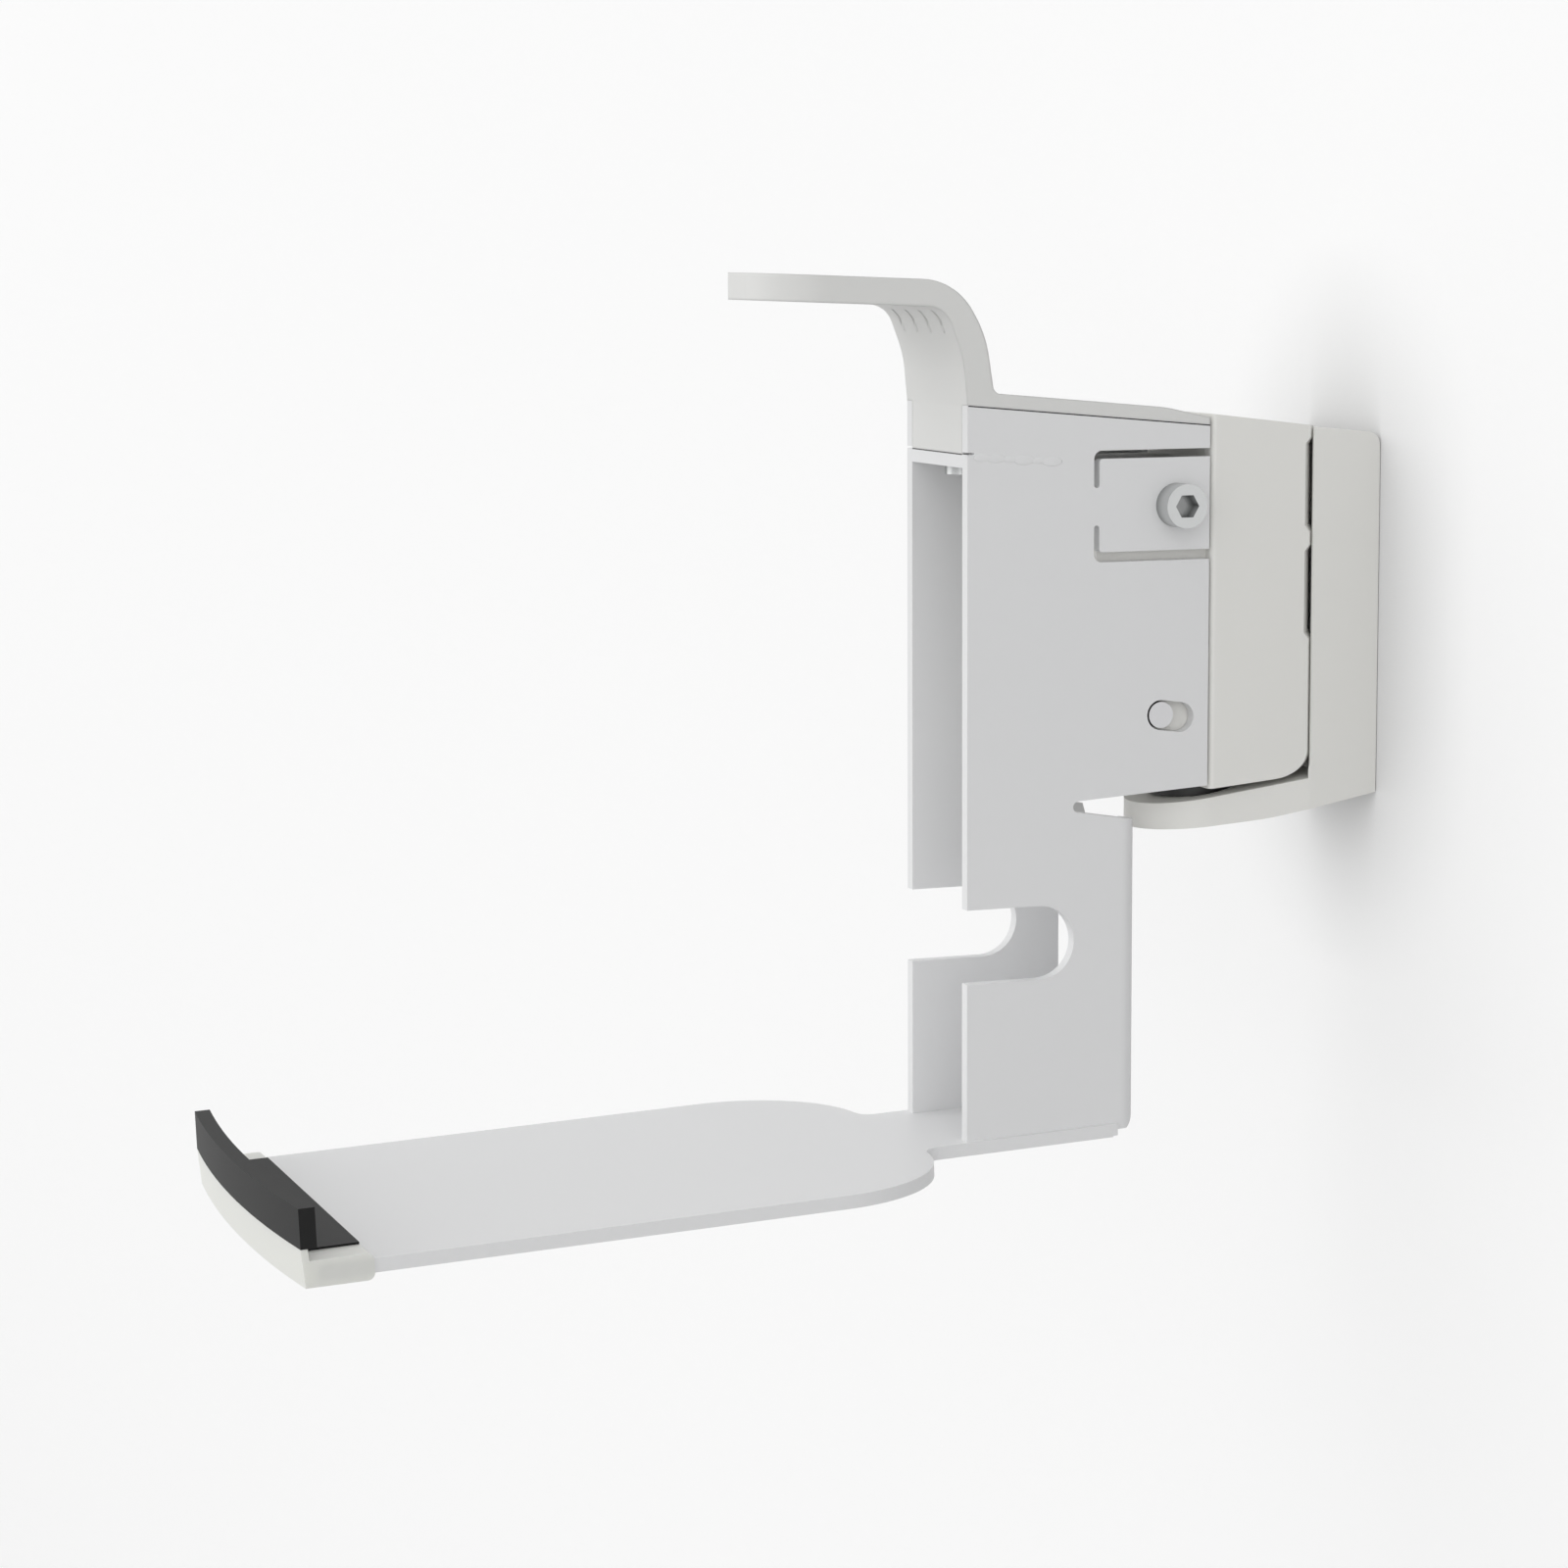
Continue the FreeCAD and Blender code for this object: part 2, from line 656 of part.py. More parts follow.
def swivel_block():
    """Moulded block: a tongue between the cheeks, and the head behind them that turns in the wall base."""
    tongue_rear = SHOULDER + 2 * size("block_edge")
    tongue = pad("tongue", "YZ_Plane", [
        (TONGUE_FRONT, -size("tongue_foot")), (TONGUE_FRONT, size("tongue_top")),
        (tongue_rear, size("tongue_top")), (tongue_rear, -size("tongue_foot")),
    ], "Sizes.channel_width - 2 * Sizes.sheet - 2 * Sizes.tongue_clearance")
    clamp_far = swung(CLAMP, -size("tilt_range"))
    seat = -size("bush_seat_drop") + size("bush_flange_height") + size("bush_top_gap")
    bore_top = -size("bush_seat_drop") + size("bush_length") + 2 * size("bush_top_gap")
    nut_half = size("nut_flats") / 2 + size("nut_clearance")
    washer_half = size("pivot_washer") / 2 + size("nut_clearance")
    washer_foot = size("nut_seat") - size("pivot_washer_thickness")
    tools = [
        rod("bush_room", pivot_at(-FAR / 2), UP, "Sizes.bush_flange + Sizes.flange_room",
            str(seat + FAR / 2)),
        rod("bush_bore_room", pivot_at(-FAR / 2), UP, "Sizes.bush_outer + 2 * Sizes.bush_clearance",
            str(bore_top + FAR / 2)),
        rod("pivot_room", pivot_at(-FAR / 2), UP, "Sizes.pivot_hole",
            f"Sizes.pivot_length - Sizes.pivot_foot + Sizes.pivot_tip_room + {FAR / 2}"),
        box("nut_room", (-nut_half, AXIS - nut_half * HEXAGON_REACH, size("nut_seat")),
            (nut_half, 0, size("nut_seat") + size("nut_height") + size("nut_headroom"))),
        box("washer_room", (-washer_half, AXIS - washer_half, washer_foot),
            (washer_half, 0, size("nut_seat"))),
        pad("clamp_slot", "YZ_Plane", stadium((CLAMP.y, CLAMP.z), clamp_far, size("clamp_hole") / 2),
            "Sizes.channel_width"),
        rod("pin_bore", (-HALF, PIN.y, PIN.z), (1, 0, 0), "Sizes.pin_diameter", "Sizes.channel_width"),
    ]
    return cut("swivel_block", fuse("block_body", block_head(), tongue), *tools)


def countersunk(name, foot, clearance):
    """Turned body of the pivot screw's head and shank, from foot up, made larger all round by clearance."""
    radius, head = size("pivot_diameter") / 2 + clearance, size("pivot_head") / 2 + clearance
    land = foot + size("pivot_head_land") + clearance
    top = size("pivot_length") - size("pivot_foot")
    neck = land + head - radius
    body = turned(name, [(0, foot), (head, foot), (head, land), (radius, neck), (radius, top), (0, top)])
    body.Placement.Base = V(0, AXIS, 0)
    return body


def pivot_screw():
    """Countersunk socket screw that the block swivels about, its head under the arm."""
    foot = -size("pivot_foot")
    socket = hexagon("pivot_socket", pivot_at(foot), UP, "Sizes.socket_flats", "Sizes.pivot_socket_depth")
    return cut("pivot_screw", countersunk("pivot_blank", foot, 0), socket)


def pivot_nut():
    seat = pivot_at(size("nut_seat"))
    blank = hexagon("pivot_nut_blank", seat, UP, "Sizes.nut_flats", "Sizes.nut_height")
    hole = rod("pivot_nut_hole", seat, UP, "Sizes.pivot_diameter", "Sizes.nut_height")
    return cut("pivot_nut", blank, hole)


def pivot_washer():
    """Flat washer between the nut and the block."""
    low = pivot_at(size("nut_seat") - size("pivot_washer_thickness"))
    blank = rod("pivot_washer_blank", low, (0, 0, 1), "Sizes.pivot_washer", "Sizes.pivot_washer_thickness")
    hole = rod("pivot_washer_hole", low, (0, 0, 1), "Sizes.pivot_hole", "Sizes.pivot_washer_thickness")
    return cut("pivot_washer", blank, hole)


def pivot_bush():
    """Flanged bush on the arm, its sleeve up inside the block."""
    seat = -size("bush_seat_drop")
    top = seat + size("bush_flange_height")
    bore, outer, flange = size("bush_bore") / 2, size("bush_outer") / 2, size("bush_flange") / 2
    body = turned("pivot_bush", [(bore, seat), (flange, seat), (flange, top), (outer, top),
                                 (outer, seat + size("bush_length")), (bore, seat + size("bush_length"))])
    body.Placement.Base = V(0, AXIS, 0)
    return body


def tilt_pin():
    """Guide pin, pressed through the tongue, its ends in the cheeks' slots."""
    return rod("tilt_pin", (-HALF, PIN.y, PIN.z), (1, 0, 0), "Sizes.pin_diameter", "Sizes.channel_width")


def clamp_screw():
    """Socket cap screw that pinches the spring tabs on the tongue."""
    seat = (HALF, CLAMP.y, CLAMP.z)
    shank = rod("clamp_shank", seat, (-1, 0, 0), "Sizes.clamp_diameter", "Sizes.clamp_length")
    head = rod("clamp_head", seat, (1, 0, 0), "Sizes.clamp_head", "Sizes.clamp_head_height")
    head_end = HALF + size("clamp_head_height")
    socket = hexagon("clamp_socket", (head_end, CLAMP.y, CLAMP.z), (-1, 0, 0), "Sizes.socket_flats",
                     "Sizes.clamp_socket_depth")
    return cut("clamp_screw", fuse("clamp_blank", shank, head), socket)


def ring_on_clamp(name, blank, start, length):
    hole = rod(name + "_hole", (start, CLAMP.y, CLAMP.z), (-1, 0, 0), "Sizes.clamp_diameter", length)
    return cut(name, blank, hole)


def clamp_washer():
    blank = rod("washer_blank", (-HALF, CLAMP.y, CLAMP.z), (-1, 0, 0), "Sizes.washer_outer",
                "Sizes.washer_thickness")
    return ring_on_clamp("clamp_washer", blank, -HALF, "Sizes.washer_thickness")


def clamp_nut():
    start = -HALF - size("washer_thickness")
    blank = hexagon("clamp_nut_blank", (start, CLAMP.y, CLAMP.z), (-1, 0, 0), "Sizes.clamp_nut_flats",
                    "Sizes.clamp_nut_height")
    return ring_on_clamp("clamp_nut", blank, start, "Sizes.clamp_nut_height")


def wall_bracket():
    """L-shaped wall base: hollow front that the block turns in, and an arm under the block."""
    front = -size("wall_thickness")
    half, nose = size("wall_width") / 2, size("nose_radius")
    tip = AXIS - nose
    arm_top = ((front, -size("arm_root_drop")), (tip, -size("arm_tip_drop")))
    side = pad("base_side", "YZ_Plane", eased(
        (0, -size("wall_foot")),
        (0, size("wall_top_rear"), size("wall_corner")),
        (front, size("wall_top_front")),
        (*arm_top[0], size("arm_root_radius")),
        arm_top[1],
        (tip, -size("arm_foot_drop")),
        (-size("arm_knee_reach"), -size("arm_knee_drop"), size("arm_knee_radius")),
    ), "Sizes.wall_width")
    plan = pad("base_plan", "XY_Plane", [
        (-half, 0), (half, 0), (half, front), (nose, AXIS), ((0, tip), (-nose, AXIS)), (-half, front),
    ], "4 * Sizes.arm_foot_drop")
    body = common("base_body", side, plan)

    seat_bore = rod("seat_bore", pivot_at(-FAR / 2), (0, 0, 1), "2 * Sizes.seat_radius", str(FAR))
    room = pad("seat_room", "YZ_Plane", [
        (0, along(0, *arm_top)), (0, FAR / 2), (-FAR / 2, FAR / 2), (-FAR / 2, along(-FAR / 2, *arm_top)),
    ], "4 * Sizes.wall_width")
    seat = common("seat", seat_bore, room)
    sink = countersunk("pivot_sink", -size("pivot_foot"), size("pivot_clearance"))
    sink_mouth = rod("pivot_sink_mouth", pivot_at(-size("pivot_foot")), (0, 0, -1),
                     "Sizes.pivot_head + 2 * Sizes.pivot_clearance", "Sizes.pivot_head")
    tools = [
        seat,
        rod("bush_seat", pivot_at(-size("bush_seat_drop")), UP, "Sizes.bush_flange + Sizes.flange_seat_room",
            str(FAR)),
        sink,
        sink_mouth,
    ]
    seat_rear = AXIS + size("seat_radius")
    for i, height in enumerate((-size("screw_pitch") / 2, size("screw_pitch") / 2)):
        tools.append(rod(f"wall_hole_{i}", (0, -FAR / 2, height), (0, 1, 0), "Sizes.screw_hole", str(FAR)))
        tools.append(rod(f"wall_sink_{i}", (0, seat_rear + size("screw_head_depth"), height), (0, -1, 0),
                         "Sizes.screw_head", str(FAR)))
    pocket, wide = size("back_pocket_height"), size("back_pocket_width") / 2
    for i in (0, 1):
        low = -pocket - size("back_rib") / 2 + i * (pocket + size("back_rib"))
        tools.append(box(f"back_pocket_{i}", (-wide, -size("back_pocket_depth"), low),
                         (wide, PAST, low + pocket)))
    return cut("wall_bracket", body, *tools)


def front_arc(inset):
    """Ends and apex of the cap's bowed front, moved in by inset."""
    half = size("shelf_width") / 2 + size("cap_side")
    end = inset - size("shelf_reach") - size("cap_nose")
    return (-half, end), (0, end - size("cap_bow")), (half, end)


def bow(inset, rear):
    """Plan with a bowed front, moved in by inset, and the rest of its outline."""
    left, apex, right = front_arc(inset)
    return [left, (apex, right)] + rear


def on_shelf(piece, height):
    """Puts a padded plan on the shelf's plane, its foot at that height above the shelf's top."""
    piece.Placement = SHELF_PLACE * FreeCAD.Placement(V(0, 0, height), FreeCAD.Rotation())
    return piece


def shelf_block(name, low, high):
    made = box(name, low, high)
    made.Placement = SHELF_PLACE * made.Placement
    return made


def cap_front(name, plan):
    """A plan of the cap raised from its foot to the rim's top, leaning out by the front's draft."""
    height = "Sizes.cap_rim + 2 * Sizes.cap_wall + Sizes.sheet"
    piece = pad(name, "XY_Plane", plan, height, "One side")
    feature = piece.Group[-1]
    feature.UseCustomVector = True
    feature.Direction = V(0, -size("cap_draft"), size("cap_rim") + 2 * size("cap_wall") + size("sheet"))
    return on_shelf(piece, -size("sheet") - size("cap_wall"))


def cap_rim():
    """Low wall along the cap's front."""
    left, apex, right = front_arc(size("cap_rim_thickness"))
    return cap_front("cap_rim", bow(0, [right, (apex, left)]))


def end_cap(rim):
    """Moulded cap pushed on the shelf's front edge."""
    half, wall = size("shelf_width") / 2 + size("cap_side"), size("cap_wall")
    rear, round_rear = size("cap_grip") - size("shelf_reach"), size("cap_rear_radius")
    low, high = -size("sheet") - wall, wall
    blank = cap_front("cap_plan", bow(0, [(half, 0), (-half, 0)]))
    outline = eased((-FAR, low), (rear, low, round_rear), (rear, high, round_rear), (-FAR, high))
    side = pad("cap_side_view", "YZ_Plane", outline, "Sizes.shelf_width + 2 * Sizes.cap_side")
    body = common("cap_body", blank, on_shelf(side, 0))
    shelf_half = size("shelf_width") / 2
    mouth = shelf_block("cap_mouth", (-shelf_half, -size("shelf_reach"), -size("sheet")), (shelf_half, 0, 0))
    return cut("end_cap", fuse("cap_blank", body, rim), mouth)


def front_pad(rim):
    """Rubber strip: a flat tongue on the cap, and a bowed lip that stops the speaker."""
    base, top = size("cap_wall"), size("cap_wall") + size("cap_rim")
    left, apex, right = front_arc(size("lip_thickness") - size("cap_draft"))
    lip_plan = bow(-size("cap_draft"), [right, (apex, left)])
    lip = on_shelf(pad("lip", "XY_Plane", lip_plan, "Sizes.lip_height", "One side"), top)
    half = size("shelf_width") / 2 - size("pad_side")
    pad_rear = size("cap_grip") - size("shelf_reach") - size("pad_inset")
    flat = shelf_block("pad_flat", (-half, apex[1], base), (half, pad_rear, base + size("pad_thickness")))
    root_plan = bow(0, [right, (apex, left)])
    root_strip = on_shelf(pad("lip_root_strip", "XY_Plane", root_plan, "Sizes.cap_rim", "One side"), base)
    root_span = shelf_block("lip_root_span", (-half, -FAR, base), (half, 0, top))
    root = common("lip_root", root_strip, root_span)
    return cut("front_pad", fuse("front_pad_blank", lip, flat, root), rim)


RIM = cap_rim()
NODES = [
    wall_bracket(), pivot_bush(),
    swivel_block(), pivot_screw(), pivot_washer(), pivot_nut(), tilt_pin(),
    cradle_plate(), cross_plate(), hook(), *hook_screws(), end_cap(RIM), front_pad(RIM),
    clamp_screw(), clamp_washer(), clamp_nut(),
]
doc.recompute()

for thing in doc.Objects:
    if "Invalid" in thing.State or "Error" in thing.State:
        raise RuntimeError(f"{thing.Name} failed: {thing.State}")
os.makedirs("parts", exist_ok=True)
for node in NODES:
    if node.Shape.isNull() or not node.Shape.isValid():
        raise RuntimeError(f"{node.Label} has no valid shape")
    node.Shape.exportStep(f"parts/{node.Label}.step")
    bounds = node.Shape.BoundBox
    print(f"{node.Label:14s} solids {len(node.Shape.Solids)} volume {node.Shape.Volume:10.1f}"
          f"  x {bounds.XMin:7.1f} {bounds.XMax:7.1f}  y {bounds.YMin:7.1f} {bounds.YMax:7.1f}"
          f"  z {bounds.ZMin:7.1f} {bounds.ZMax:7.1f}")
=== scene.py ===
"""Speaker wall bracket: finishes, small details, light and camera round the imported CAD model."""

import json
import math

import bmesh
import bpy
from mathutils import Matrix, Vector


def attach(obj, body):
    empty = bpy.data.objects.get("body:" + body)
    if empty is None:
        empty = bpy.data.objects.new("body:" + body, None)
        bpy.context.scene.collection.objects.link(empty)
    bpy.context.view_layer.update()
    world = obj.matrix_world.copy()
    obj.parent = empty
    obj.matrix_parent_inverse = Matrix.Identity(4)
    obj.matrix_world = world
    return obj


MM = 0.001

# Camera: the photo is taken from 70 degrees round the bracket, from a little above it, with a long lens.
EYE = Vector((854.1, -451.8, 85.5)) * MM
AZIMUTH = math.radians(69.957)
PITCH = math.radians(-7.605)
ROLL = math.radians(-0.296)
SENSOR = 36.0
FOCAL_PIXELS = 4151.7
PHOTO_PIXELS = 1600.0

# Stage: a pale wall at the bracket's back and a pale floor well below it. Behind the base the wall is open,
# so that the base's back gets light too.
WALL_SIZE = 8.0
WALL_GAP = 0.2 * MM
WALL_OPENING = (-16.5 * MM, -41.1 * MM, 16.5 * MM, 39.6 * MM)
FLOOR_DROP = 1.2
STAGE_ALBEDO = 0.55
STAGE_GLOW = 0.43
# Painted shadow: near the object the glow is dimmed by ambient occlusion, within this reach and to this
# power.
PAINTED_SHADOW_REACH = 45.0 * MM
PAINTED_SHADOW_DEPTH = 1.4
BACKGROUND = (0.955, 0.957, 0.955)
UPRIGHT = (math.radians(90), 0, 0)
LEVEL = (0, 0, 0)
CLOSED = (0, 0, 0, 0)

# Light: an even room and two broad suns. A sun's direction is the way its light travels.
ROOM_LIGHT = 0.96
SUNS = {
    "key_sun": (0.55, (0.5, 0.9, -0.35)),
    "fill_sun": (0.44, (-0.9, 0.25, -0.2)),
}
SUN_ANGLE = math.radians(60.0)

# Colours of the finishes.
SHEET_GREY = (0.780, 0.782, 0.788)
BODY_WHITE = (0.820, 0.815, 0.785)
HOOK_WHITE = (0.720, 0.720, 0.706)
CAP_WHITE = (0.77, 0.775, 0.73)
RUBBER_BLACK = (0.008, 0.008, 0.008)
BUSH_BLACK = (0.012, 0.012, 0.012)
ZINC = (0.60, 0.61, 0.61)
GROUND_STEEL = (0.62, 0.62, 0.63)

# Rounding of each node's sharp edges, in millimetres. The hook's is only in its shading.
EDGE_RADIUS = {
    "cradle_plate": 0.18,
    "cross_plate": 0.15,
    "swivel_block": 0.35,
    "wall_bracket": 0.5,
    "end_cap": 0.35,
    "front_pad": 0.5,
    "clamp_screw": 0.4,
    "clamp_nut": 0.2,
    "clamp_washer": 0.12,
    "tilt_pin": 0.25,
    "pivot_bush": 0.2,
    "pivot_screw": 0.1,
}
EDGE_ANGLE = math.radians(40.0)
HOOK_EDGE = 0.9

# Places on the CAD model that the small details follow, in millimetres.
CHEEK_FACE = 18.0
CHEEK_FRONT = (-103.0, 49.0)
CHEEK_REAR = (-43.4, 43.6)
CROSS_TOP = 38.1
HOOK_KNEE = (-104.0, 59.6)
HOOK_LEAN = 0.384
HOOK_CURVE = (-112.5, 64.95)
HOOK_CURVE_RADIUS = 6.0
HOOK_CURVE_FOOT = 67.1
GROOVE_PLACES = (-12.0, -4.0, 4.0, 12.0)

# Ramps at the grooves' feet, in millimetres: flush up to RAMP_START, then falling away.
RAMP_HALF_WIDTH = 0.55
RAMP_FOOT = 65.15
RAMP_START = 66.4
RAMP_TOP = 69.8
RAMP_STEPS = 8
RAMP_FALL = 0.3
RAMP_PROUD = 0.015
RAMP_BACK = -103.8
RAMP_LEAST = 0.1

# Painted shade in the joints: thin dark strips stand for the shaded gaps between parts, in millimetres. A
# pair says how far the line reaches below and above the joint.
SEAM_SHADE_DEPTH = 0.3
SEAM_SHADE_PROUD = 0.01
COVER_SEAM_SHADE = (0.2, 0.06)
COVER_SEAM_SHADE_INSET = 0.2
FOOT_SEAM_SHADE = (0.12, 0.14)
FOOT_SEAM_SHADE_HALF = 14.8

# Weld marks on both sides: first and last drop (Y, Z), number of drops, and a drop's half sizes (X, Y, Z).
WELDS = {
    "cross_weld": ((-99.5, 37.4), (-82.5, 36.2), 6, (0.12, 2.1, 0.9)),
    "foot_weld": ((-100.0, -117.6), (-93.5, -117.8), 3, (0.7, 1.6, 0.5)),
}
WELD_UNEVEN = 0.25
WELD_BEAT = 2.7


def principled(name, colour, roughness, metallic=0.0):
    """A new material and its shader, with the plain values set."""
    material = bpy.data.materials.new(name)
    material.use_nodes = True
    shader = material.node_tree.nodes["Principled BSDF"]
    shader.inputs["Base Color"].default_value = (*colour, 1.0)
    shader.inputs["Roughness"].default_value = roughness
    shader.inputs["Metallic"].default_value = metallic
    return material, shader


def add_grain(material, shader, grain_mm, height_mm, strength):
    """Fine unevenness of a coat or a moulded face, as bump."""
    tree = material.node_tree
    place = tree.nodes.new("ShaderNodeTexCoord")
    noise = tree.nodes.new("ShaderNodeTexNoise")
    noise.inputs["Scale"].default_value = 1.0 / (grain_mm * MM)
    noise.inputs["Detail"].default_value = 2.0
    bump = tree.nodes.new("ShaderNodeBump")
    bump.inputs["Distance"].default_value = height_mm * MM
    bump.inputs["Strength"].default_value = strength
    tree.links.new(place.outputs["Object"], noise.inputs["Vector"])
    tree.links.new(noise.outputs["Fac"], bump.inputs["Height"])
    tree.links.new(bump.outputs["Normal"], shader.inputs["Normal"])


def paint_recess_shade(material, shader, colour, reach_mm):
    """Painted shade: ambient occlusion darkens the bare metal's colour in its recesses and beside other
    faces.
    """
    shade = material.node_tree.nodes.new("ShaderNodeAmbientOcclusion")
    shade.inputs["Color"].default_value = (*colour, 1.0)
    shade.inputs["Distance"].default_value = reach_mm * MM
    material.node_tree.links.new(shade.outputs["Color"], shader.inputs["Base Color"])


def sheet_paint():
    """Satin paint of the folded cradle and the cross plate."""
    material, shader = principled("sheet_paint", SHEET_GREY, roughness=0.42)
    add_grain(material, shader, grain_mm=0.55, height_mm=0.02, strength=0.5)
    return material


def body_plastic():
    """Off-white moulded plastic of the wall base and the block."""
    material, shader = principled("body_plastic", BODY_WHITE, roughness=0.5)
    add_grain(material, shader, grain_mm=0.35, height_mm=0.02, strength=0.4)
    return material


def hook_plastic():
    """Off-white moulded plastic of the hook, its edges rounded in the shading."""
    material, shader = principled("hook_plastic", HOOK_WHITE, roughness=0.48)
    edges = material.node_tree.nodes.new("ShaderNodeBevel")
    edges.samples = 8
    edges.inputs["Radius"].default_value = HOOK_EDGE * MM
    material.node_tree.links.new(edges.outputs["Normal"], shader.inputs["Normal"])
    return material


def cap_plastic():
    """Slightly clear off-white plastic of the shelf's cap."""
    material, shader = principled("cap_plastic", CAP_WHITE, roughness=0.34)
    shader.inputs["Subsurface Weight"].default_value = 0.3
    shader.inputs["Subsurface Radius"].default_value = (1.0, 1.0, 0.9)
    shader.inputs["Subsurface Scale"].default_value = 3.0 * MM
    return material


def black_rubber():
    """Dull rubber of the front strip."""
    material, shader = principled("black_rubber", RUBBER_BLACK, roughness=0.55)
    shader.inputs["IOR"].default_value = 1.3
    add_grain(material, shader, grain_mm=0.5, height_mm=0.03, strength=0.5)
    return material


def black_plastic():
    """Black plastic of the bush, and the painted shade of the joint lines."""
    return principled("black_plastic", BUSH_BLACK, roughness=0.4)[0]


def zinc_screw():
    """Bright zinc plate of screws, nuts and washers, with painted shade darkening its recesses."""
    material, shader = principled("zinc_screw", ZINC, roughness=0.27, metallic=1.0)
    paint_recess_shade(material, shader, ZINC, reach_mm=4.0)
    add_grain(material, shader, grain_mm=0.8, height_mm=0.01, strength=0.4)
    return material


def steel_pin():
    """Ground steel of the guide pin, with painted shade darkening its recesses."""
    material, shader = principled("steel_pin", GROUND_STEEL, roughness=0.36, metallic=1.0)
    paint_recess_shade(material, shader, GROUND_STEEL, reach_mm=3.0)
    add_grain(material, shader, grain_mm=0.4, height_mm=0.01, strength=0.4)
    return material


MATERIALS = {
    "sheet_paint": sheet_paint,
    "body_plastic": body_plastic,
    "hook_plastic": hook_plastic,
    "cap_plastic": cap_plastic,
    "black_rubber": black_rubber,
    "black_plastic": black_plastic,
    "zinc_screw": zinc_screw,
    "steel_pin": steel_pin,
}


def dress_nodes(frame):
    """Gives each CAD node its finish and a small rounding on its sharp edges."""
    slots = {part["node"]: part["material_slot"] for part in frame["record"]["subparts"]}
    made = {slot: make() for slot, make in MATERIALS.items()}
    for name, node in frame["nodes"].items():
        node.data.materials.clear()
        node.data.materials.append(made[slots[name]])
        radius = EDGE_RADIUS.get(name, 0.0)
        if radius > 0:
            bevel = node.modifiers.new("edge", "BEVEL")
            bevel.width = radius * MM
            bevel.segments = 2
            bevel.limit_method = "ANGLE"
            bevel.angle_limit = EDGE_ANGLE
            bevel.harden_normals = True
    return made


def add_detail(name, mesh, material):
    """A small detail that takes the material's finish and moves with the cradle."""
    mesh.materials.append(material)
    thing = bpy.data.objects.new(name, mesh)
    bpy.context.collection.objects.link(thing)
    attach(thing, "cradle")


def prism(name, left, right, outline, material):
    """A solid between two X values, with the given side view in Y and Z, all in millimetres."""
    count = len(outline)
    corners = [(x, y, z) for x in (left, right) for y, z in outline]
    faces = [tuple(range(count)), tuple(range(2 * count - 1, count - 1, -1))]
    for i in range(count):
        after = (i + 1) % count
        faces.append((i, i + count, after + count, after))
    mesh = bpy.data.meshes.new(name)
    mesh.from_pydata([Vector(corner) * MM for corner in corners], [], faces)
    add_detail(name, mesh, material)


def hook_front(z):
    """Y of the stem's front face, with the curve that leads into the arm."""
    if z < HOOK_CURVE_FOOT:
        return HOOK_KNEE[0] - (z - HOOK_KNEE[1]) * HOOK_LEAN
    return HOOK_CURVE[0] + math.sqrt(HOOK_CURVE_RADIUS ** 2 - (z - HOOK_CURVE[1]) ** 2)


def groove_ramps(material):
    """Each groove under the arm runs out at its foot: a ramp fills it there."""
    outline = []
    for i in range(RAMP_STEPS + 1):
        z = RAMP_FOOT + (RAMP_TOP - RAMP_FOOT) * i / RAMP_STEPS
        depth = RAMP_FALL * max(0.0, z - RAMP_START) - RAMP_PROUD
        outline.append((min(hook_front(z) + depth, RAMP_BACK - RAMP_LEAST), z))
    outline += [(RAMP_BACK, RAMP_TOP), (RAMP_BACK, RAMP_FOOT)]
    for i, x in enumerate(GROOVE_PLACES):
        prism(f"groove_ramp_{i}", x - RAMP_HALF_WIDTH, x + RAMP_HALF_WIDTH, outline, material)


def seam_shade_lines(material):
    """Painted shade: thin dark strips in the shaded gaps under the hook's cover plate and under its foot.
    """
    below, above = COVER_SEAM_SHADE
    front = CHEEK_FRONT[0] + COVER_SEAM_SHADE_INSET
    outline = [
        (front, CHEEK_FRONT[1] - below), (CHEEK_REAR[0], CHEEK_REAR[1] - below),
        (CHEEK_REAR[0], CHEEK_REAR[1] + above), (front, CHEEK_FRONT[1] + above),
    ]
    for side in (-1, 1):
        inner, outer = side * (CHEEK_FACE - SEAM_SHADE_DEPTH), side * (CHEEK_FACE + SEAM_SHADE_PROUD)
        prism(f"cover_seam_shade_{side}", min(inner, outer), max(inner, outer), outline, material)
    front, rear = CHEEK_FRONT[0] - SEAM_SHADE_PROUD, CHEEK_FRONT[0] + SEAM_SHADE_DEPTH
    low, high = CROSS_TOP - FOOT_SEAM_SHADE[0], CROSS_TOP + FOOT_SEAM_SHADE[1]
    outline = [(front, low), (rear, low), (rear, high), (front, high)]
    prism("foot_seam_shade", -FOOT_SEAM_SHADE_HALF, FOOT_SEAM_SHADE_HALF, outline, material)


def weld_bead(name, start, end, count, radii, material):
    """A row of low, soft-edged drops along a line in millimetres, under the paint."""
    beads = bmesh.new()
    for i in range(count):
        centre = Vector(start).lerp(Vector(end), i / (count - 1))
        wide = 1.0 + WELD_UNEVEN * math.sin(WELD_BEAT * i)
        half_sizes = Vector((radii[0], radii[1] * wide, radii[2] * wide)) * MM
        place = Matrix.Translation(centre * MM) @ Matrix.Diagonal((*half_sizes, 1.0))
        bmesh.ops.create_uvsphere(beads, u_segments=16, v_segments=8, radius=1.0, matrix=place)
    for face in beads.faces:
        face.smooth = True
    mesh = bpy.data.meshes.new(name)
    beads.to_mesh(mesh)
    beads.free()
    add_detail(name, mesh, material)


def weld_marks(material):
    """Ground welds of the cross plate on both cheeks, and the tacks at the column's foot."""
    for side in (-1, 1):
        x = side * CHEEK_FACE
        for name, (start, end, count, radii) in WELDS.items():
            weld_bead(f"{name}_{side}", (x, *start), (x, *end), count, radii, material)


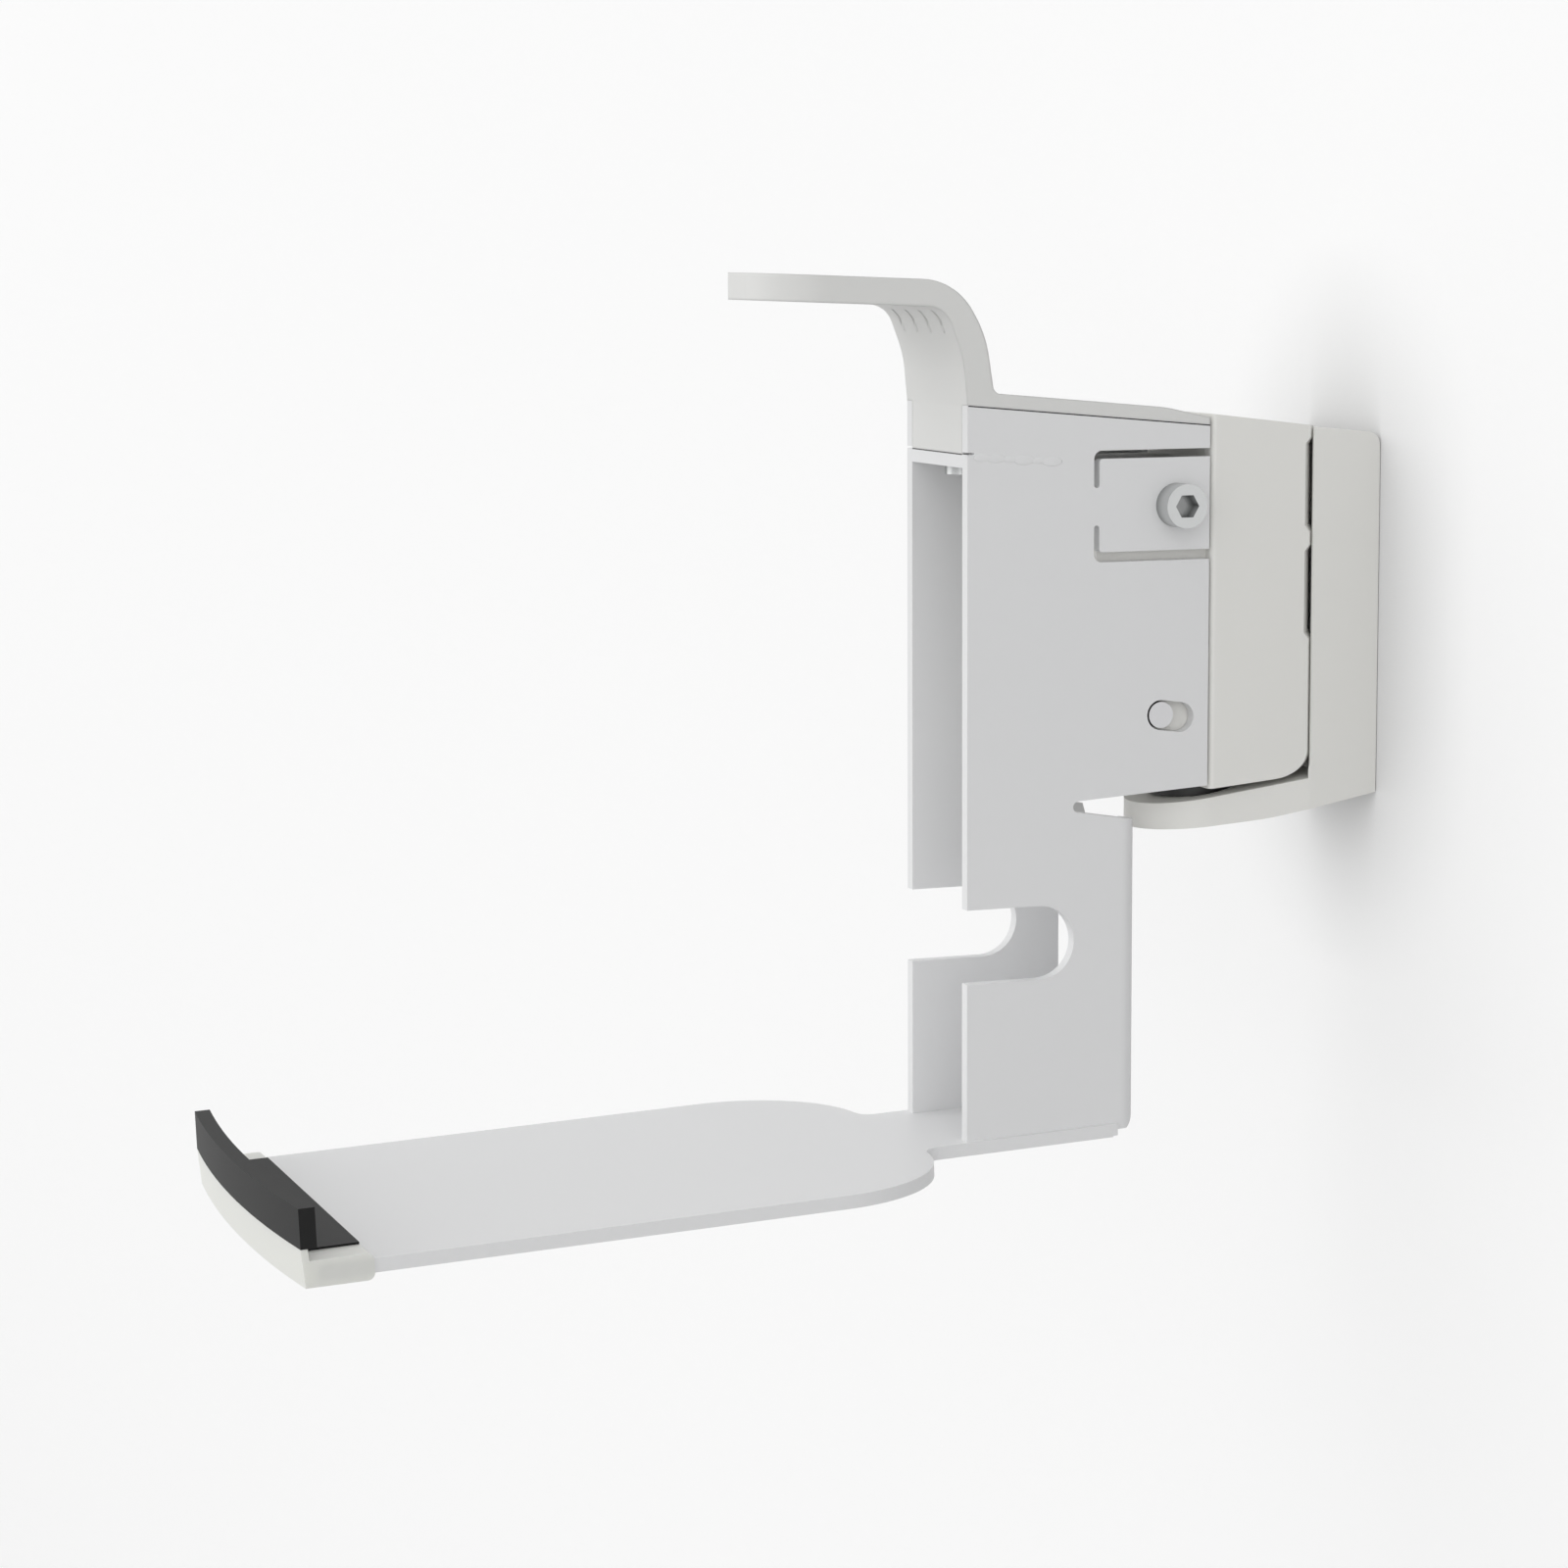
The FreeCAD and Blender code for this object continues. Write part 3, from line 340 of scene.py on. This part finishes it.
def seen_directly(tree):
    """1 for what the camera, a glossy face or a clear body sees, 0 for the light that falls on things."""
    path = tree.nodes.new("ShaderNodeLightPath")
    first = tree.nodes.new("ShaderNodeMath")
    second = tree.nodes.new("ShaderNodeMath")
    for step in (first, second):
        step.operation = "MAXIMUM"
    tree.links.new(path.outputs["Is Camera Ray"], first.inputs[0])
    tree.links.new(path.outputs["Is Glossy Ray"], first.inputs[1])
    tree.links.new(first.outputs["Value"], second.inputs[0])
    tree.links.new(path.outputs["Is Transmission Ray"], second.inputs[1])
    return second.outputs["Value"]


def stage_material():
    """Pale paint that keeps the object's real shadow. A glow seen only directly gives it its pale tone,
    dimmed by ambient occlusion near the object: a painted shadow.
    """
    material, shader = principled("stage_paint", (STAGE_ALBEDO,) * 3, roughness=0.95)
    shader.inputs["Specular IOR Level"].default_value = 0.0
    tree = material.node_tree
    lift = tree.nodes.new("ShaderNodeMath")
    lift.operation = "MULTIPLY"
    # Painted shadow: ambient occlusion dims the direct glow near the object.
    painted_shadow = tree.nodes.new("ShaderNodeAmbientOcclusion")
    painted_shadow.inputs["Distance"].default_value = PAINTED_SHADOW_REACH
    deepen = tree.nodes.new("ShaderNodeMath")
    deepen.operation = "POWER"
    deepen.inputs[1].default_value = PAINTED_SHADOW_DEPTH
    scale = tree.nodes.new("ShaderNodeMath")
    scale.operation = "MULTIPLY"
    scale.inputs[1].default_value = STAGE_GLOW
    tree.links.new(painted_shadow.outputs["AO"], deepen.inputs[0])
    tree.links.new(deepen.outputs["Value"], scale.inputs[0])
    tree.links.new(scale.outputs["Value"], lift.inputs[1])
    tree.links.new(seen_directly(tree), lift.inputs[0])
    tree.links.new(lift.outputs["Value"], shader.inputs["Emission Strength"])
    geometry = tree.nodes.new("ShaderNodeNewGeometry")
    clear = tree.nodes.new("ShaderNodeBsdfTransparent")
    mix = tree.nodes.new("ShaderNodeMixShader")
    output = tree.nodes["Material Output"]
    tree.links.new(geometry.outputs["Backfacing"], mix.inputs["Fac"])
    tree.links.new(shader.outputs["BSDF"], mix.inputs[1])
    tree.links.new(clear.outputs["BSDF"], mix.inputs[2])
    tree.links.new(mix.outputs["Shader"], output.inputs["Surface"])
    return material


def corners_of(left, low, right, high):
    """The four corners of a flat rectangle."""
    return [(left, low, 0), (right, low, 0), (right, high, 0), (left, high, 0)]


def sheet_of_stage(name, centre, rotation, opening, material):
    """A flat square of the stage, with an opening in it."""
    mesh = bpy.data.meshes.new(name)
    half = WALL_SIZE / 2
    corners = corners_of(-half, -half, half, half) + corners_of(*opening)
    mesh.from_pydata(corners, [], [(0, 1, 5, 4), (1, 2, 6, 5), (2, 3, 7, 6), (3, 0, 4, 7)])
    plate = bpy.data.objects.new(name, mesh)
    plate.location = centre
    plate.rotation_euler = rotation
    mesh.materials.append(material)
    bpy.context.collection.objects.link(plate)


def build_stage():
    """The wall, open behind the base, and the floor."""
    paint = stage_material()
    sheet_of_stage("studio_wall", (0, WALL_GAP, 0), UPRIGHT, WALL_OPENING, paint)
    sheet_of_stage("studio_floor", (0, 0, -FLOOR_DROP), LEVEL, CLOSED, paint)


def build_room():
    """The pale room: at full tone where it is seen, and weaker as light."""
    world = bpy.data.worlds.new("studio_air")
    bpy.context.scene.world = world
    world.use_nodes = True
    tree = world.node_tree
    lit = tree.nodes["Background"]
    shown = tree.nodes.new("ShaderNodeBackground")
    for air, strength in ((lit, ROOM_LIGHT), (shown, 1.0)):
        air.inputs["Color"].default_value = (*BACKGROUND, 1.0)
        air.inputs["Strength"].default_value = strength
    mix = tree.nodes.new("ShaderNodeMixShader")
    tree.links.new(seen_directly(tree), mix.inputs["Fac"])
    tree.links.new(lit.outputs["Background"], mix.inputs[1])
    tree.links.new(shown.outputs["Background"], mix.inputs[2])
    tree.links.new(mix.outputs["Shader"], tree.nodes["World Output"].inputs["Surface"])


def build_suns():
    """Two broad suns: one from the front, one from the camera's side."""
    for name, (strength, direction) in SUNS.items():
        data = bpy.data.lights.new(name, "SUN")
        data.energy = strength
        data.angle = SUN_ANGLE
        sun = bpy.data.objects.new(name, data)
        sun.rotation_euler = Vector(direction).to_track_quat("-Z", "Y").to_euler()
        bpy.context.collection.objects.link(sun)


def build_camera():
    """The photo's camera."""
    data = bpy.data.cameras.new("photo_camera")
    data.sensor_width = SENSOR
    data.lens = FOCAL_PIXELS * SENSOR / PHOTO_PIXELS
    data.clip_start = 0.01
    camera = bpy.data.objects.new("photo_camera", data)
    camera.location = EYE
    aim = Matrix.Rotation(AZIMUTH, 3, "Z") @ Matrix.Rotation(math.radians(90) + PITCH, 3, "X")
    camera.rotation_euler = (aim @ Matrix.Rotation(ROLL, 3, "Z")).to_euler()
    bpy.context.collection.objects.link(camera)
    bpy.context.scene.camera = camera


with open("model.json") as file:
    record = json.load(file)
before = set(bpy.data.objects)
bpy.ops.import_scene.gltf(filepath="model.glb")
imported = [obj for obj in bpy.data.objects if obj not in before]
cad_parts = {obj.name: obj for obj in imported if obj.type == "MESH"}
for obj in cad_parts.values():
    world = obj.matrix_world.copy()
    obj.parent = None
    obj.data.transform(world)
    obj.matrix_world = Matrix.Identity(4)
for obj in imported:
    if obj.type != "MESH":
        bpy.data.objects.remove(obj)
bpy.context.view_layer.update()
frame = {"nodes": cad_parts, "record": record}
finishes = dress_nodes(frame)
groove_ramps(finishes["hook_plastic"])
# Painted shade in the joint gaps, as thin dark strips.
seam_shade_lines(finishes["black_plastic"])
weld_marks(finishes["sheet_paint"])
build_stage()
build_room()
build_suns()
build_camera()
bpy.context.scene.view_settings.view_transform = "Standard"
